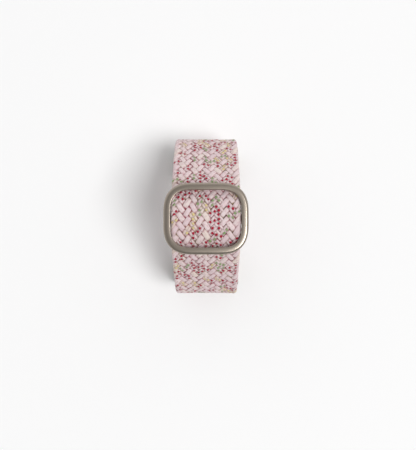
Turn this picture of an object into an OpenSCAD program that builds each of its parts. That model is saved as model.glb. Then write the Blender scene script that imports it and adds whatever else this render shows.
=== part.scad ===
// Braided elastic watch band with a slide buckle: a loop of flat braid that runs from one rail
// connector up through the buckle window, down round the strap bar of the other connector and
// back inside to the centre bar of the buckle. X is across the strap, Y along it, Z up. The loop
// stands on its two connectors, which face each other across the place of the watch.

/* [Strap] */
// Width of the braid
strap_w = 23.8; // [18:0.1:26]
// Thickness of the braid
strap_t = 2.2; // [1.8:0.1:2.5]
// Thickness of the braid where its end is pressed flat and sewn
end_t = 1.6; // [1.2:0.1:1.9]
// Gap between the outer and the inner run
run_gap = 0.3; // [0.2:0.05:0.6]
// Gap that the sewn layers keep
sewn_gap = 0.05; // [0.02:0.01:0.1]
// Length of the flap sewn down at the second connector
lug_flap_l = 8; // [5:0.5:9]
// Length of the flap sewn down beside the centre bar
buckle_flap_l = 2.4; // [1.8:0.1:2.6]
// Length of the sealed tip of a cut braid end
seal_l = 1; // [0.6:0.1:1.4]
// Length of the braid from its bend in the window to the hidden place under the rim
tail_l = 3; // [2.6:0.1:3.4]
// Length of the stretch beside the buckle that gives when the buckle slides
slack_l = 6; // [4:0.5:7]

/* [Loop] */
// Length of the loop over its two bulging sides
loop_l = 61.7; // [60:0.1:64]
// Height of the part, from its feet to the top of the buckle
loop_h = 48; // [46:0.5:52]
// Bend radius of the bulging sides, at the middle of the braid
side_r = 15; // [13:0.5:16]
// Height of the widest place of the loop
side_z = 19; // [17.5:0.5:21]
// Bend radius of the slopes beside the buckle, at the middle of the braid
slope_r = 90; // [70:5:150]
// Distance from each end of the loop to the strap bar there
bar_in = 4.85; // [4.35:0.1:5.85]
// Place of the buckle along the strap, counted from the middle
buckle_y = -1.35; // [-2:0.05:2]

/* [Buckle] */
// Length of the window along the strap
window_l = 19.6; // [18:0.1:22]
// Gap between the edge of the braid and the window
window_gap = 0.2; // [0.15:0.05:0.5]
// Width of the rim seen from above
rim_w = 2.4; // [2.2:0.1:3]
// Height of the rim
rim_h = 2.8; // [2.4:0.1:3.2]
// Corner radius of the outside of the rim
corner_r = 8.3; // [7:0.1:9.5]
// Rounding of the upper outer edge of the rim
rim_round = 1; // [0.6:0.1:1.1]
// Rounding of the upper inner edge and of both lower edges of the rim
rim_edge = 0.5; // [0.3:0.1:0.7]
// Gap between the braid and the underside of the rim
rim_gap = 0.15; // [0.1:0.05:0.3]
// Half length of the flat top of the braid in the window
crest_flat = 3; // [2:0.1:4]
// Bend radius of the braid on each side of that flat top
shoulder_r = 9; // [8:0.5:10]
// Radius of the centre bar
centre_bar_r = 1; // [0.8:0.1:1.2]
// Wall of the bosses round the ends of the centre bar
boss_wall = 0.9; // [0.7:0.1:1.2]
// Length of those bosses
boss_l = 1.9; // [1.5:0.1:2.1]
// Radius of the centre bar's chamfered ends
centre_bar_tip_r = 0.8; // [0.5:0.05:0.8]
// Bend radius of the inner run under the rim
dip_r = 4; // [3:0.5:5]
// Bend radius where a sewn flap meets the run that it is sewn to
close_r = 2.5; // [2:0.1:3]
// Distance from the centre bar to where its flap lies flat
flap_y = 5; // [4.8:0.1:5.4]

/* [Connectors] */
// Radius of the strap bars
bar_r = 0.9; // [0.8:0.05:1.1]
// Radial running clearance between a bar and the braid round it
bar_clear = 0.05; // [0.03:0.01:0.08]
// Gap between the braid round a strap bar and the ground
foot_gap = 0.45; // [0.3:0.05:0.8]
// Gap between the braid round a strap bar and the spine
pocket_gap = 0.3; // [0.25:0.05:0.5]
// Gap between the edge of the braid and an ear
ear_gap = 0.3; // [0.2:0.05:0.5]
// Thickness of the ears
ear_t = 1.5; // [1.5:0.1:2.4]
// Height of the ears above the bar
ear_rise = 3.4; // [3:0.1:3.8]
// Reach of the ears beyond the bar
ear_out = 3.4; // [3:0.1:3.8]
// Corner radius of the ears
ear_round = 1.8; // [1.2:0.1:2.2]
// Least thickness of the spine
spine_t = 1.55; // [1.4:0.05:2]
// Corner radius of the spine
spine_round = 0.7; // [0.4:0.1:0.7]
// Radius of the rail
rail_r = 1.7; // [1.6:0.05:2]
// Height of the neck behind the rail
neck_h = 2.4; // [2.2:0.1:2.6]
// Free length of the neck
neck_l = 0.3; // [0.2:0.1:0.6]
// Chamfer of the rail's ends
rail_chamfer = 0.35; // [0.2:0.05:0.5]

/* [Strap bar screws] */
// Depth to which a strap bar seats in each ear
bar_seat = 0.6; // [0.4:0.1:0.8]
// Radius of the screws' shanks
screw_r = 0.5; // [0.4:0.05:0.55]
// Radial clearance of a shank in the strap bar
screw_clear = 0.02; // [0.01:0.01:0.04]
// Length of a shank inside the strap bar
screw_l = 3.4; // [2:0.1:5]
// Radius of the screws' heads
head_r = 1.1; // [0.9:0.05:1.3]
// Height of the screws' heads
head_h = 0.6; // [0.4:0.05:0.8]
// Width of the slot in a head
slot_w = 0.3; // [0.2:0.05:0.4]
// Depth of the slot in a head
slot_d = 0.25; // [0.15:0.05:0.3]

/* [Lock] */
// Radius of the bore for the plunger
lock_bore_r = 0.9; // [0.8:0.05:1]
// Wall between the bore's end and the pocket
lock_wall = 0.45; // [0.3:0.05:0.6]
// Radius of the plunger's tip
tip_r = 0.55; // [0.4:0.05:0.6]
// Reach that the tip keeps beyond the rail when it is pressed in
tip_left = 0.05; // [0.05:0.05:0.1]
// Radial clearance of the plunger in its retainer and in its bore
lock_clear = 0.05; // [0.03:0.01:0.08]
// Travel of the plunger
lock_travel = 0.75; // [0.4:0.05:0.8]
// Thickness of the plunger's flange
flange_t = 0.5; // [0.4:0.05:0.7]
// Length of the retainer
retainer_l = 0.7; // [0.5:0.05:0.9]
// Depth of the retainer's face below the nose of the rail
retainer_in = 0.35; // [0.3:0.05:0.5]
// Radius of the spring's wire
wire_r = 0.14; // [0.1:0.01:0.16]
// Mean radius of the spring
coil_r = 0.6; // [0.5:0.02:0.65]
// Turns of the spring
coil_turns = 4; // [3:1:4]

/* [Rail pads] */
// Radius of the pads in the rail
pad_r = 0.8; // [0.6:0.05:1]
// Length of a pad
pad_l = 0.8; // [0.6:0.05:1]
// Height of a pad above the nose of the rail
pad_out = 0.1; // [0.05:0.05:0.2]
// Distance of the pads from the middle of the rail
pad_x = 9.5; // [6:0.5:11]

/* [Stitches] */
// Radius of a stitch
stitch_r = 0.3; // [0.2:0.05:0.35]
// Length of a stitch
stitch_l = 1.7; // [1.2:0.1:1.8]
// Spacing of the stitches along a row
stitch_pitch = 2.3; // [2:0.1:3]
// Stitches in a row
stitch_count = 9; // [5:1:9]
// Distance between the rows
row_pitch = 1.2; // [0.9:0.1:1.3]
// Rows at the second connector
lug_rows = 4; // [2:1:5]

/* [Hidden] */
$fn = 48;
half_x = strap_w / 2;
run_l = loop_l / 2 - strap_t / 2 - side_r;
bar_y = loop_l / 2 - bar_in;
window_x = half_x + window_gap;
rim_x = window_x + rim_w;
rim_y = window_l / 2 + rim_w;
rim_z = loop_h - rim_h;
face_r = shoulder_r + strap_t / 2;
relief_x = half_x + window_gap / 2;
end_r = centre_bar_r + bar_clear + end_t / 2;
turn_r = bar_r + bar_clear + strap_t / 2;
bar_z = turn_r + strap_t / 2 + foot_gap;
pocket_r = turn_r + strap_t / 2 + pocket_gap;
ear_x = half_x + ear_gap;
rail_x = ear_x + ear_t;
spine_y = -(pocket_r + spine_t);
rail_y = spine_y - neck_l - rail_r;
nose_y = rail_y - rail_r;
bore_end_y = -(pocket_r + lock_wall);
retainer_y = nose_y + retainer_in;
flange_y = retainer_y + retainer_l;
spring_y = flange_y + flange_t;
spring_l = bore_end_y - spring_y;
tip_out = lock_travel + tip_left;
flap_rise = end_t + sewn_gap;
eps = 0.01;
lap = 0.2;
join_step = 0.01;

// A bend is [y, z, signed radius] and is minus where the strap turns to the right. A heading is
// the angle of travel above +Y.
function side_sign(side) = side == "a" ? 1 : -1;
function left_of(heading) = [-sin(heading), cos(heading)];
function ahead(heading) = [cos(heading), sin(heading)];
function place_of(bend) = [bend[0], bend[1]];
function gap_of(a, b) = norm(place_of(b) - place_of(a));
function leaves(bend, heading) = place_of(bend) - bend[2] * left_of(heading);
function wrap(angle) = angle - 360 * floor(angle / 360);
function sweep_of(bend, from, to) = bend[2] < 0 ? wrap(from - to) : wrap(to - from);
function turned(length, r) = length / r * 180 / PI;

// Heading and length of the straight run from one bend to the next.
function heading_of(a, b) =
    atan2(b[1] - a[1], b[0] - a[0]) - asin((b[2] - a[2]) / gap_of(a, b));
function length_of(a, b) = sqrt(pow(gap_of(a, b), 2) - pow(b[2] - a[2], 2));

// Heading where one bend passes into another that it touches, with the first centre on the right.
function touch_heading(from, to) = atan2(from[0] - to[0], to[1] - from[1]);

// Point at given distances from two others, on the right of the way from one to the other.
function meeting(p, reach_p, q, reach_q) =
    let (gap = norm(q - p), along = (q - p) / gap,
         foot = (gap * gap + reach_p * reach_p - reach_q * reach_q) / (2 * gap),
         off = sqrt(reach_p * reach_p - foot * foot))
    p + foot * along + off * [along[1], -along[0]];

// Bends of the outer run, seen from each end with Y pointing outwards, for a height of its top.
function middle_y(side) = side_sign(side) * buckle_y;
function shoulder_at(side, top) = [middle_y(side) + crest_flat, top - face_r, -shoulder_r];
function bulge(side) = [run_l, side_z, -side_r];
function lug_turn(side) = [bar_y, bar_z, -turn_r];
function hill_at(side, top) =
    concat(meeting(place_of(shoulder_at(side, top)), slope_r - shoulder_r,
                   place_of(bulge(side)), slope_r - side_r), -slope_r);
function hill_face(side, top) =
    let (hill = hill_at(side, top), y = middle_y(side) + window_l / 2 - hill[0])
    hill[1] + sqrt(pow(slope_r + strap_t / 2, 2) - y * y);

// The braid's top is as high as lets it pass just under the inner edges of the rim. A first guess
// is corrected twice, and the result is rounded to whole hundredths.
function corrected(top) =
    top + rim_z - rim_gap - max(hill_face("a", top), hill_face("b", top));
crest_z = floor(100 * corrected(corrected(rim_z + rim_h))) / 100;
function shoulder(side) = shoulder_at(side, crest_z);
function hill(side) = hill_at(side, crest_z);
function slope_top(side) = touch_heading(hill(side), shoulder(side));
function slope_low(side) = touch_heading(hill(side), bulge(side));
function slack_start(side) = slope_top(side) - turned(tail_l, slope_r);
function slack_end(side) = slack_start(side) - turned(slack_l, slope_r);
function drop(side) = heading_of(bulge(side), lug_turn(side));
centre_bar_z = crest_z - strap_t - run_gap / 2 - end_r - end_t / 2;

// Bends of the inner run, which lies along the outer run of side a.
inner_bulge = [run_l, side_z, side_r - strap_t - run_gap];
inner_hill = concat(place_of(hill("a")), slope_r - strap_t - run_gap);
inner_up = heading_of(lug_turn("a"), inner_bulge);
inner_back = slope_low("a") + 180;
end_z = centre_bar_z - end_r;
dip_z = end_z - dip_r;
dip_reach = sqrt(pow(inner_hill[2] - dip_r, 2) - pow(dip_z - inner_hill[1], 2));
dip = [inner_hill[0] + dip_reach, dip_z, dip_r];
dip_heading = touch_heading(inner_hill, dip) + 180;
slack_heading = dip_heading - turned(slack_l, inner_hill[2]);
centre_turn = [buckle_y, centre_bar_z, -end_r];
flap_close = [buckle_y + flap_y, end_z + flap_rise + close_r, close_r];
flap_down = heading_of(centre_turn, flap_close);

// Where the flap of side b meets the outer run.
lug_up = drop("b") + 180;
lug_close_at = leaves(lug_turn("b"), drop("b"))
    + (turn_r + close_r + strap_t) * ahead(lug_up) + (strap_t + sewn_gap) * left_of(lug_up);
lug_close = concat(lug_close_at + close_r * left_of(lug_up), close_r);
lug_flap_up = heading_of(lug_turn("b"), lug_close);

// Places a shape drawn for side a, with Y outwards, on either side.
module on_side(side) {
    mirror([0, side == "a" ? 0 : 1, 0]) children();
}

module at_bar(side) {
    on_side(side) translate([0, bar_y, bar_z]) children();
}

// Cylinder along X between two places.
module cross_rod(r, x0, x1) {
    translate([x0, 0, 0]) rotate([0, 90, 0]) cylinder(r = r, h = x1 - x0);
}

// Cylinder along Y between two places.
module long_rod(r, y0, y1) {
    translate([0, y0, 0]) rotate([-90, 0, 0]) cylinder(r = r, h = y1 - y0);
}

// Section of the braid, with round edges: u across its thickness, v across its width. It can lie
// a little inside the full section all round.
module braid_section(t, inside = 0) {
    square([t - 2 * inside, strap_w - t], center = true);
    for (end = [-1, 1]) translate([0, end * (strap_w - t) / 2]) circle(d = t - 2 * inside);
}

// Straight and gently curved stretches are a hair thinner than the bends, and run a little way
// into them, so that the two join to one solid. This one is straight and starts at a point.
module straight(point, heading, length, t) {
    translate([0, point[0], point[1]]) rotate([heading, 0, 0]) rotate([-90, 0, 0])
        linear_extrude(length) rotate(90) braid_section(t, join_step);
}

// Straight stretch between two bends.
module run(a, b, t, before = 0, after = 0) {
    heading = heading_of(a, b);
    straight(leaves(a, heading) - before * ahead(heading), heading,
        length_of(a, b) + before + after, t);
}

// Bend from one heading to another.
module curve(bend, from, to, t, inside = 0) {
    sweep = sweep_of(bend, from, to);
    start = bend[2] < 0 ? from + 90 - sweep : from - 90;
    translate([0, bend[0], bend[1]]) rotate([90, 0, 90]) rotate(start)
        rotate_extrude(angle = sweep) translate([abs(bend[2]), 0]) braid_section(t, inside);
}

// Gently curved stretch between two bends.
module gentle(bend, from, to, t, before = 0, after = 0) {
    way = sign(bend[2]);
    r = abs(bend[2]);
    curve(bend, from - way * turned(before, r), to + way * turned(after, r), t, join_step);
}

// Section of the rim, with its outer side at u = 0.
module rim_section() {
    translate([-rim_w + rim_edge, rim_edge]) circle(r = rim_edge);
    translate([-rim_w + rim_edge, rim_h - rim_edge]) circle(r = rim_edge);
    translate([-rim_edge, rim_edge]) circle(r = rim_edge);
    translate([-rim_round, rim_h - rim_round]) circle(r = rim_round);
    translate([-rim_w, rim_edge]) square([rim_w - rim_round, rim_h - 2 * rim_edge]);
    translate([-rim_w + rim_edge, 0]) square([rim_w - 2 * rim_edge, rim_h - rim_round]);
    translate([-rim_w + rim_edge, 0]) square([rim_w - rim_edge - rim_round, rim_h]);
    translate([-rim_w, rim_edge]) square([rim_w, rim_h - rim_edge - rim_round]);
}

module rim_quarter() {
    translate([rim_x - corner_r, rim_y - corner_r, 0])
        rotate_extrude(angle = 90) translate([corner_r, 0]) rim_section();
    translate([rim_x, rim_y - corner_r, 0]) rotate([90, 0, 0])
        linear_extrude(rim_y - corner_r) rim_section();
    translate([0, rim_y, 0]) rotate([90, 0, 90])
        linear_extrude(rim_x - corner_r) rim_section();
}

module centre_boss() {
    cross_rod(centre_bar_r + boss_wall, rim_x - rim_w, rim_x - rim_w + boss_l);
    translate([rim_x - rim_w, -centre_bar_r - boss_wall, 0])
        cube([boss_l, 2 * (centre_bar_r + boss_wall), rim_z - centre_bar_z + rim_edge]);
}

// The braid's bends pass below the round corners of the window, which are relieved for them.
module buckle_frame() {
    color([0.66, 0.62, 0.57]) difference() {
        translate([0, buckle_y, 0]) {
            translate([0, 0, rim_z]) for (turn_x = [0, 1], turn_y = [0, 1])
                mirror([turn_x, 0, 0]) mirror([0, turn_y, 0]) rim_quarter();
            translate([0, 0, centre_bar_z]) centre_boss();
            translate([0, 0, centre_bar_z]) mirror([1, 0, 0]) centre_boss();
        }
        translate([0, buckle_y, centre_bar_z]) cross_rod(centre_bar_r, -rim_x, rim_x);
        for (side = ["a", "b"]) on_side(side) translate([0, shoulder(side)[0], shoulder(side)[1]])
            cross_rod(face_r + rim_gap, -relief_x, relief_x);
    }
}

module buckle_centre_bar() {
    tip = centre_bar_r - centre_bar_tip_r;
    reach = window_x + boss_l - tip;
    color([0.72, 0.7, 0.68]) translate([0, buckle_y, centre_bar_z]) {
        cross_rod(centre_bar_r, -reach, reach);
        for (turn = [0, 180]) rotate([0, 0, turn]) translate([reach, 0, 0])
            rotate([0, 90, 0]) cylinder(r1 = centre_bar_r, r2 = centre_bar_tip_r, h = tip);
    }
}

module strap_window() {
    color([0.87, 0.79, 0.78]) {
        straight([buckle_y - crest_flat - lap, crest_z - strap_t / 2], 0,
            2 * (crest_flat + lap), strap_t);
        for (side = ["a", "b"]) on_side(side) {
            curve(shoulder(side), 0, slope_top(side), strap_t);
            gentle(hill(side), slope_top(side), slack_start(side), strap_t, lap);
        }
    }
}

module strap_slack(side) {
    color([0.85, 0.77, 0.77]) on_side(side)
        gentle(hill(side), slack_start(side), slack_end(side), strap_t);
}

module strap_side(side) {
    color([0.87, 0.79, 0.78]) on_side(side) {
        gentle(hill(side), slack_end(side), slope_low(side), strap_t, 0, lap);
        curve(bulge(side), slope_low(side), drop(side), strap_t);
        run(bulge(side), lug_turn(side), strap_t, lap);
    }
}

module strap_turn(side) {
    up = side == "a" ? inner_up : lug_flap_up;
    color([0.86, 0.78, 0.77]) on_side(side) curve(lug_turn(side), drop(side), up, strap_t);
}

module strap_inner_run() {
    color([0.84, 0.76, 0.76]) {
        run(lug_turn("a"), inner_bulge, strap_t, 0, lap);
        curve(inner_bulge, inner_up, inner_back, strap_t);
        gentle(inner_hill, inner_back, slack_heading, strap_t, lap);
    }
}

module strap_inner_slack() {
    color([0.85, 0.77, 0.77]) {
        gentle(inner_hill, slack_heading, dip_heading, strap_t, 0, lap);
        curve(dip, dip_heading, 180, strap_t);
    }
}

module strap_buckle_end() {
    color([0.83, 0.75, 0.75]) {
        run(dip, centre_turn, end_t, 0, lap);
        curve(centre_turn, 180, flap_down, end_t);
        run(centre_turn, flap_close, end_t, lap, lap);
        curve(flap_close, flap_down, 0, end_t);
        straight(leaves(flap_close, 0) - [lap, 0], 0, buckle_flap_l - seal_l + lap, end_t);
    }
}

module buckle_end_seal() {
    color([0.8, 0.72, 0.72])
        straight(leaves(flap_close, 0) + [buckle_flap_l - seal_l, 0], 0, seal_l, end_t);
}

module strap_lug_flap() {
    color([0.83, 0.75, 0.75]) on_side("b") {
        run(lug_turn("b"), lug_close, strap_t, 0, lap);
        curve(lug_close, lug_flap_up, lug_up, strap_t);
        straight(leaves(lug_close, lug_up) - lap * ahead(lug_up), lug_up,
            lug_flap_l - seal_l + lap, strap_t);
    }
}

module lug_end_seal() {
    start = leaves(lug_close, lug_up) + (lug_flap_l - seal_l) * ahead(lug_up);
    color([0.8, 0.72, 0.72]) on_side("b") straight(start, lug_up, seal_l, strap_t);
}

// Rows of half-round stitches on a flat face at z = 0. The rows run across the strap.
module stitch_rows(rows) {
    for (row = [0 : rows - 1], i = [0 : stitch_count - 1])
        translate([(i - (stitch_count - 1) / 2) * stitch_pitch, row * row_pitch, 0])
            intersection() {
                cross_rod(stitch_r, -stitch_l / 2, stitch_l / 2);
                translate([-stitch_l, -stitch_r * 2, 0])
                    cube([stitch_l * 2, stitch_r * 4, stitch_r * 2]);
            }
}

module buckle_end_stitches() {
    color([0.76, 0.62, 0.65])
        translate([0, buckle_y + flap_y + stitch_r, end_z - end_t / 2])
            mirror([0, 0, 1]) stitch_rows(2);
}

module lug_end_stitches() {
    start = leaves(lug_close, lug_up) + strap_t / 2 * left_of(lug_up)
        + stitch_r * ahead(lug_up);
    color([0.76, 0.62, 0.65]) on_side("b") translate([0, start[0], start[1]])
        rotate([lug_up, 0, 0]) stitch_rows(lug_rows);
}

// Plate with round corners in Y and Z, from its low corner to its high corner.
module rounded_plate(low, high, r, x0, x1) {
    translate([x0, 0, 0]) rotate([90, 0, 90]) linear_extrude(x1 - x0) {
        translate([low[0], low[1] + r]) square([high[0] - low[0], high[1] - low[1] - 2 * r]);
        translate([low[0] + r, low[1]]) square([high[0] - low[0] - 2 * r, high[1] - low[1]]);
        for (y = [low[0] + r, high[0] - r], z = [low[1] + r, high[1] - r])
            translate([y, z]) circle(r = r);
    }
}

module rail() {
    translate([0, rail_y, 0]) {
        cross_rod(rail_r, rail_chamfer - rail_x, rail_x - rail_chamfer);
        for (turn = [0, 180]) rotate([0, 0, turn]) translate([rail_x - rail_chamfer, 0, 0])
            rotate([0, 90, 0]) cylinder(r1 = rail_r, r2 = rail_r - rail_chamfer, h = rail_chamfer);
    }
    translate([rail_chamfer - rail_x, rail_y, -neck_h / 2])
        cube([2 * (rail_x - rail_chamfer), spine_y - rail_y + spine_round, neck_h]);
}

module connector_body(side) {
    color([0.7, 0.67, 0.63]) at_bar(side) difference() {
        union() {
            rounded_plate([spine_y, -bar_z], [-pocket_r, ear_rise], spine_round, -rail_x, rail_x);
            for (turn = [0, 1]) mirror([turn, 0, 0])
                rounded_plate([spine_y, -bar_z], [ear_out, ear_rise], ear_round, ear_x, rail_x);
            rail();
        }
        cross_rod(bar_r, -ear_x - bar_seat, ear_x + bar_seat);
        cross_rod(screw_r + screw_clear, -rail_x, rail_x);
        for (turn = [0, 1]) mirror([turn, 0, 0]) cross_rod(head_r, rail_x - head_h, rail_x + eps);
        long_rod(lock_bore_r, nose_y - eps, bore_end_y);
        for (x = [-pad_x, pad_x]) translate([x, 0, 0])
            long_rod(pad_r, nose_y - eps, nose_y - pad_out + pad_l);
    }
}

module strap_bar(side) {
    color([0.75, 0.74, 0.72]) at_bar(side) difference() {
        cross_rod(bar_r, -ear_x - bar_seat, ear_x + bar_seat);
        cross_rod(screw_r + screw_clear, -rail_x, rail_x);
    }
}

module bar_screws(side) {
    color([0.62, 0.6, 0.58]) at_bar(side) for (turn = [0, 1]) mirror([turn, 0, 0])
        difference() {
            union() {
                cross_rod(screw_r, ear_x + bar_seat - screw_l, rail_x - head_h + eps);
                cross_rod(head_r, rail_x - head_h, rail_x);
            }
            translate([rail_x - slot_d, -head_r * 2, -slot_w / 2])
                cube([slot_d * 2, head_r * 4, slot_w]);
        }
}

module lock_plunger(side) {
    color([0.75, 0.74, 0.72]) at_bar(side) {
        long_rod(tip_r, nose_y - tip_out + tip_r, flange_y + eps);
        translate([0, nose_y - tip_out + tip_r, 0]) sphere(r = tip_r);
        long_rod(lock_bore_r - lock_clear, flange_y, spring_y);
    }
}

module lock_retainer(side) {
    color([0.62, 0.6, 0.58]) at_bar(side) difference() {
        long_rod(lock_bore_r, retainer_y, flange_y);
        long_rod(tip_r + lock_clear, retainer_y - eps, flange_y + eps);
    }
}

// Rings of six points along the coil. The ends keep clear of the flange and of the bore's end.
rings_per_turn = 8;
wire_sides = 6;
coil_gap = 0.02;
coil_rise = spring_l - 2 * (wire_r + coil_gap);
ring_count = coil_turns * rings_per_turn + 1;
function coil_lean() = atan2(coil_rise / coil_turns, 2 * PI * coil_r);
function coil_point(i, k) =
    let (turn = 360 * i / rings_per_turn, around = 360 * k / wire_sides,
         out = coil_r + wire_r * cos(around), up = wire_r * sin(around))
    [out * cos(turn) + up * sin(coil_lean()) * sin(turn),
     spring_y + wire_r + coil_gap + coil_rise * i / (ring_count - 1) + up * cos(coil_lean()),
     out * sin(turn) - up * sin(coil_lean()) * cos(turn)];
coil_points = [for (i = [0 : ring_count - 1], k = [0 : wire_sides - 1]) coil_point(i, k)];
coil_sides = [for (i = [0 : ring_count - 2], k = [0 : wire_sides - 1])
    let (a = i * wire_sides + k, b = i * wire_sides + (k + 1) % wire_sides)
    each [[a, a + wire_sides, b], [b, a + wire_sides, b + wire_sides]]];
coil_caps = [for (k = [1 : wire_sides - 2])
    each [[0, k, k + 1],
          [(ring_count - 1) * wire_sides, (ring_count - 1) * wire_sides + k + 1,
           (ring_count - 1) * wire_sides + k]]];
coil_least_gap = coil_rise / coil_turns * cos(coil_lean()) - 2 * wire_r;
echo(spring_gap_mm = coil_least_gap);

module lock_spring(side) {
    color([0.6, 0.6, 0.6]) at_bar(side) polyhedron(coil_points, concat(coil_sides, coil_caps));
}

module rail_pads(side) {
    color([0.25, 0.25, 0.26]) at_bar(side) for (x = [-pad_x, pad_x]) translate([x, 0, 0])
        long_rod(pad_r, nose_y - pad_out, nose_y - pad_out + pad_l);
}

buckle_frame();
buckle_centre_bar();
strap_window();
strap_buckle_end();
buckle_end_stitches();
buckle_end_seal();
strap_slack("a");  // strap_slack_a
strap_slack("b");  // strap_slack_b
strap_side("a");  // strap_side_a
strap_side("b");  // strap_side_b
strap_turn("a");  // strap_turn_a
strap_turn("b");  // strap_turn_b
strap_inner_run();
strap_inner_slack();
strap_lug_flap();
lug_end_stitches();
lug_end_seal();
connector_body("a");  // connector_body_a
connector_body("b");  // connector_body_b
strap_bar("a");  // strap_bar_a
strap_bar("b");  // strap_bar_b
bar_screws("a");  // bar_screws_a
bar_screws("b");  // bar_screws_b
lock_plunger("a");  // lock_plunger_a
lock_plunger("b");  // lock_plunger_b
lock_spring("a");  // lock_spring_a
lock_spring("b");  // lock_spring_b
lock_retainer("a");  // lock_retainer_a
lock_retainer("b");  // lock_retainer_b
rail_pads("a");  // rail_pads_a
rail_pads("b");  // rail_pads_b
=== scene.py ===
"""Looks of a braided elastic watch band with a satin slide buckle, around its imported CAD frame.

Lengths are written in millimetres and turned to metres where Blender takes them. X is across the
strap, Y along it, Z up from the connectors' feet to the buckle.
"""
import math
from types import SimpleNamespace

import bmesh
import bpy
import numpy as np
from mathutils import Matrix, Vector


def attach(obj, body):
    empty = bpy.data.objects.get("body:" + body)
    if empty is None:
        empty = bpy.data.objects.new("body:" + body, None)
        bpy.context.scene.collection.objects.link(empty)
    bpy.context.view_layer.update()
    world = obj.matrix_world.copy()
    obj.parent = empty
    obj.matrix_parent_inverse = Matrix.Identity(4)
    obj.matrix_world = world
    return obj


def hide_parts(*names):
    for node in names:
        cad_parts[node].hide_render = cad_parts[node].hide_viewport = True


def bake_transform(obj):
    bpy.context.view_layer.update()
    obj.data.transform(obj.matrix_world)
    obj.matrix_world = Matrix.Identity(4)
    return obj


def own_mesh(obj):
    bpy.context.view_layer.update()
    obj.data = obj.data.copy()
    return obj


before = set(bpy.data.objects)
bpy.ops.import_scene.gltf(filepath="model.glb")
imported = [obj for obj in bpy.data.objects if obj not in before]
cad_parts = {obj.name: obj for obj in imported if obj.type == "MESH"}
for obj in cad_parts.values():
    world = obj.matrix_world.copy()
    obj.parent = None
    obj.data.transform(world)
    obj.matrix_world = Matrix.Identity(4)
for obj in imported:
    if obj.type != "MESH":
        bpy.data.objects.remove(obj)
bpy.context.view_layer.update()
MM = 0.001


# Materials and their nodes.
def linear(hex_colour):
    """sRGB hex to the linear colour that a shader takes."""
    channels = [int(hex_colour[i:i + 2], 16) / 255 for i in (0, 2, 4)]
    return [c / 12.92 if c <= 0.04045 else ((c + 0.055) / 1.055) ** 2.4 for c in channels] + [1.0]


def material(name):
    """New material and its shader."""
    mat = bpy.data.materials.new(name)
    mat.use_nodes = True
    return mat, mat.node_tree.nodes["Principled BSDF"]


def feed(owner, node, inputs):
    """Gives a node's inputs, by name or number, a value, a socket or another node's first output."""
    for key, source in inputs.items():
        if isinstance(source, bpy.types.Node):
            source = source.outputs[0]
        if isinstance(source, bpy.types.NodeSocket):
            owner.node_tree.links.new(source, node.inputs[key])
        else:
            node.inputs[key].default_value = source


def add(owner, kind, inputs=None, **settings):
    """Adds a node with its settings and inputs to a material or a world."""
    node = owner.node_tree.nodes.new("ShaderNode" + kind)
    for key, setting in settings.items():
        setattr(node, key, setting)
    feed(owner, node, inputs or {})
    return node


# Places of the two colours and of the result among a colour mix's sockets, which share names.
MIX_A, MIX_B, MIXED = 6, 7, 2


# Modelling by hand.
def only(piece):
    """Selects one piece and nothing else."""
    bpy.ops.object.select_all(action="DESELECT")
    piece.select_set(True)
    bpy.context.view_layer.objects.active = piece


def settle():
    """Writes the selected pieces' places into their meshes."""
    bpy.ops.object.transform_apply(location=True, rotation=True, scale=True)


def place_new(name, data):
    """Puts a mesh, curve, camera or lamp into the scene as an object."""
    piece = bpy.data.objects.new(name, data)
    bpy.context.scene.collection.objects.link(piece)
    return piece


def primitive(make, name, place, scale=(1, 1, 1), turn=(0, 0, 0), **values):
    """Adds a primitive at a place in millimetres and keeps its place in its mesh."""
    bpy.ops.object.select_all(action="DESELECT")
    make(location=[v * MM for v in place], rotation=turn, **values)
    piece = bpy.context.object
    piece.name = name
    piece.scale = scale
    settle()
    return piece


def block(name, low, high):
    """Box between two corners in millimetres."""
    middle = [(a + b) / 2 for a, b in zip(low, high)]
    size = [b - a for a, b in zip(low, high)]
    return primitive(bpy.ops.mesh.primitive_cube_add, name, middle, scale=size, size=MM)


def cross_rod(name, r, x0, x1, y, z, sides=64):
    """Rod across the strap between two places."""
    return primitive(bpy.ops.mesh.primitive_cylinder_add, name, ((x0 + x1) / 2, y, z),
                     turn=(0, math.pi / 2, 0), vertices=sides, radius=r * MM,
                     depth=(x1 - x0) * MM)


def edit(piece):
    """Opens one piece in edit mode."""
    only(piece)
    bpy.ops.object.mode_set(mode="EDIT")


def leave():
    """Goes back to object mode."""
    bpy.ops.object.mode_set(mode="OBJECT")


def pick(piece, kind, test):
    """In edit mode, selects the faces or edges whose corners, in millimetres, pass a test."""
    bpy.ops.mesh.select_mode(type=kind)
    bpy.ops.mesh.select_all(action="DESELECT")
    mesh = bmesh.from_edit_mesh(piece.data)
    for item in mesh.edges if kind == "EDGE" else mesh.faces:
        item.select_set(bool(test([v.co / MM for v in item.verts])))
    mesh.select_flush_mode()
    bmesh.update_edit_mesh(piece.data)


def soften(offset, steps, fullness=0.5):
    """Bevels the selected edges."""
    bpy.ops.mesh.bevel(offset=offset * MM, segments=steps, profile=fullness, affect="EDGES")


def combine(piece, other, how):
    """Joins another solid to a piece or cuts it away, and removes the other."""
    only(piece)
    change = piece.modifiers.new("combine", "BOOLEAN")
    change.operation = how
    change.solver = "EXACT"
    change.object = other
    bpy.ops.object.modifier_apply(modifier="combine")
    bpy.data.objects.remove(other, do_unlink=True)


# Edges flatter than this many degrees are shaded smooth, on hard pieces and on round soft ones.
HARD_PIECE, SOFT_PIECE = 35, 60


def finish(piece, mat, angle):
    """Gives a modelled piece its shading and its material."""
    only(piece)
    bpy.ops.object.shade_smooth_by_angle(angle=math.radians(angle))
    piece.data.materials.clear()
    piece.data.materials.append(mat)


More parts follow.
